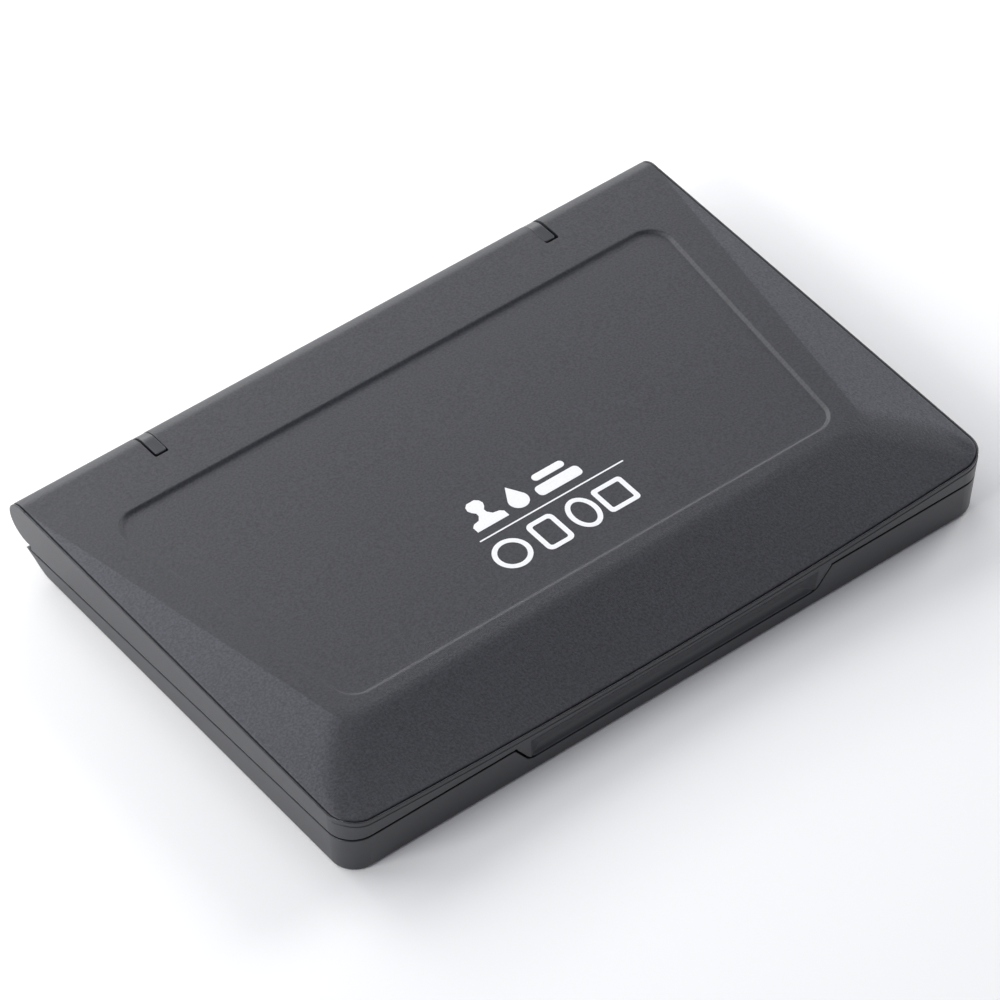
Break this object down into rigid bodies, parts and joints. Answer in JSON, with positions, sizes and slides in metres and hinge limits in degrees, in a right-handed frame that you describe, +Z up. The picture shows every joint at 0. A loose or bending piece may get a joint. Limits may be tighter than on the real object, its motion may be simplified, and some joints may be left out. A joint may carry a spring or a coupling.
{
  "type": "ink pad",
  "caption": "Flat desk ink pad: a shallow base holds a cloth-covered ink pad under a hinged lid with a sunk panel and a thumb scoop.",
  "frame": {"origin": "middle of the closed case's bounding box, at the underside", "axes": "+X along the hinge, +Y from the thumb scoop to the hinge, +Z up"},
  "size_m": [0.137, 0.0947, 0.0152],
  "materials": {
    "smooth_shell": "smooth satin anthracite ABS",
    "grained_cover": "fine spark-eroded grain on anthracite ABS",
    "inner_moulding": "smooth dark polypropylene",
    "felt": "ink-soaked wool felt",
    "inked_cloth": "fine woven cloth, damp with black ink"
  },
  "bodies": {
    "base": {"base_shell": "smooth_shell", "pad_tray": "inner_moulding", "felt_core": "felt", "pad_cloth": "inked_cloth", "pad_frame": "inner_moulding"},
    "lid": {"lid_frame": "smooth_shell", "lid_cover": "grained_cover", "lid_liner": "inner_moulding"}
  },
  "joints": [
    {"name": "lid_hinge", "type": "hinge", "parent": "base", "child": "lid", "pos_m": [0, 0.04322, 0.00932], "axis": [-1, 0, 0], "range_deg": [0, 115]}
  ]
}
